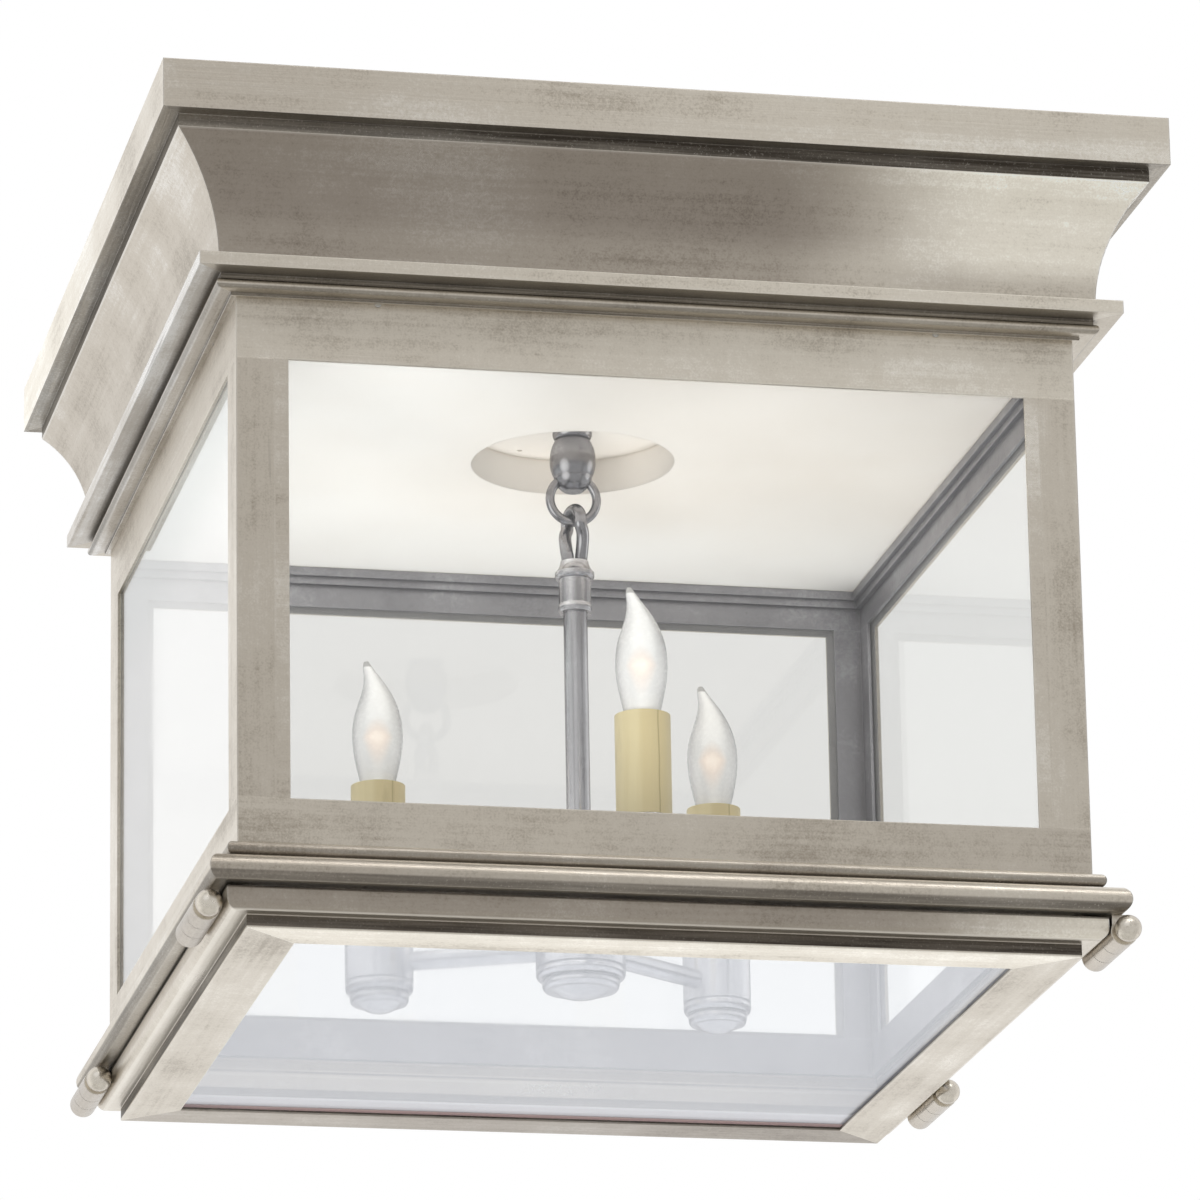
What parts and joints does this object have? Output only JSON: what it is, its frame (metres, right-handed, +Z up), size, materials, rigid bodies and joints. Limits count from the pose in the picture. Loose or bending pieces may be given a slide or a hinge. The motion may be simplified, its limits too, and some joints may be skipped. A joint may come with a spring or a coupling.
{
  "type": "flush mount ceiling light",
  "caption": "Square flush mounted glass lantern with a coved crown, hinged glass bottom door and a hanging candle cluster.",
  "frame": {"origin": "centre of the crown's top face, in the plane of the ceiling", "axes": "+Z up into the ceiling, -Y out of the face the picture shows in front, +X to that face's right"},
  "size_m": [0.432, 0.432, 0.3592],
  "materials": {
    "aged_nickel": "aged nickel over brass, brushed and rubbed, darker in the grooves",
    "inner_nickel": "plain grey nickel, satin",
    "zinc_steel": "zinc plated",
    "cream_paint": "cream paint, satin",
    "clear_glass": "clear, polished",
    "cream_sleeve": "cream, satin",
    "socket_plastic": "dark moulded plastic",
    "frosted_glass": "frosted",
    "bulb_brass": "rolled thread, satin"
  },
  "bodies": {
    "lantern": {"crown_front": "aged_nickel", "crown_right": "aged_nickel", "crown_back": "aged_nickel", "crown_left": "aged_nickel", "neck_front": "aged_nickel", "neck_right": "aged_nickel", "neck_back": "aged_nickel", "neck_left": "aged_nickel", "face_frame_front": "aged_nickel", "face_frame_right": "aged_nickel", "face_frame_back": "aged_nickel", "face_frame_left": "aged_nickel", "base_front": "aged_nickel", "base_right": "aged_nickel", "base_back": "aged_nickel", "base_left": "aged_nickel", "base_knuckles": "aged_nickel", "loop_holder": "aged_nickel", "holder_cap": "aged_nickel", "corner_posts": "inner_nickel", "top_retainers": "inner_nickel", "bottom_retainers": "inner_nickel", "mounting_crossbar": "zinc_steel", "center_nipple": "zinc_steel", "nipple_nuts": "zinc_steel", "pan_screws": "zinc_steel", "ceiling_pan": "cream_paint", "side_glass_front": "clear_glass", "side_glass_right": "clear_glass", "side_glass_back": "clear_glass", "side_glass_left": "clear_glass"},
    "door": {"door_rail_front": "aged_nickel", "door_rail_right": "aged_nickel", "door_rail_back": "aged_nickel", "door_rail_left": "aged_nickel", "door_glass": "clear_glass", "door_glass_stops": "inner_nickel", "door_knuckles": "aged_nickel"},
    "pin_front_left": {"hinge_pin_front_left": "aged_nickel"},
    "pin_front_right": {"hinge_pin_front_right": "aged_nickel"},
    "pin_back_left": {"hinge_pin_back_left": "aged_nickel"},
    "pin_back_right": {"hinge_pin_back_right": "aged_nickel"},
    "ring": {"hanging_ring": "aged_nickel"},
    "cluster": {"hook": "aged_nickel", "stem_collar": "aged_nickel", "stem_coupling": "aged_nickel", "stem_tube": "aged_nickel", "center_body": "aged_nickel", "center_finial": "aged_nickel", "cluster_arms": "aged_nickel", "socket_cups": "aged_nickel", "cup_finials": "aged_nickel", "lamp_sockets": "socket_plastic", "candle_sleeves": "cream_sleeve"},
    "bulb_right": {"bulb_glass_right": "frosted_glass", "bulb_cap_right": "bulb_brass"},
    "bulb_left": {"bulb_glass_left": "frosted_glass", "bulb_cap_left": "bulb_brass"},
    "bulb_front": {"bulb_glass_front": "frosted_glass", "bulb_cap_front": "bulb_brass"}
  },
  "joints": [
    {"name": "door_swing", "type": "hinge", "parent": "lantern", "child": "door", "pos_m": [-0.1914, 0, -0.3502], "axis": [0, 1, 0], "range_deg": [0, 100]},
    {"name": "pin_slide_front_left", "type": "slide", "parent": "lantern", "child": "pin_front_left", "axis": [0, -1, 0], "range_m": [0, 0.046]},
    {"name": "pin_slide_front_right", "type": "slide", "parent": "lantern", "child": "pin_front_right", "axis": [0, -1, 0], "range_m": [0, 0.046]},
    {"name": "pin_slide_back_left", "type": "slide", "parent": "lantern", "child": "pin_back_left", "axis": [0, -1, 0], "range_m": [0, 0.046]},
    {"name": "pin_slide_back_right", "type": "slide", "parent": "lantern", "child": "pin_back_right", "axis": [0, -1, 0], "range_m": [0, 0.046]},
    {"name": "ring_turn", "type": "hinge", "parent": "lantern", "child": "ring", "pos_m": [0, 0, -0.113], "axis": [0, 1, 0], "range_deg": [-5, 5]},
    {"name": "cluster_rock", "type": "hinge", "parent": "ring", "child": "cluster", "pos_m": [0, 0, -0.1235], "axis": [1, 0, 0], "range_deg": [-5, 5]},
    {"name": "bulb_lift_right", "type": "slide", "parent": "cluster", "child": "bulb_right", "axis": [0, 0, 1], "range_m": [0, 0.022]},
    {"name": "bulb_lift_left", "type": "slide", "parent": "cluster", "child": "bulb_left", "axis": [0, 0, 1], "range_m": [0, 0.022]},
    {"name": "bulb_lift_front", "type": "slide", "parent": "cluster", "child": "bulb_front", "axis": [0, 0, 1], "range_m": [0, 0.022]}
  ]
}
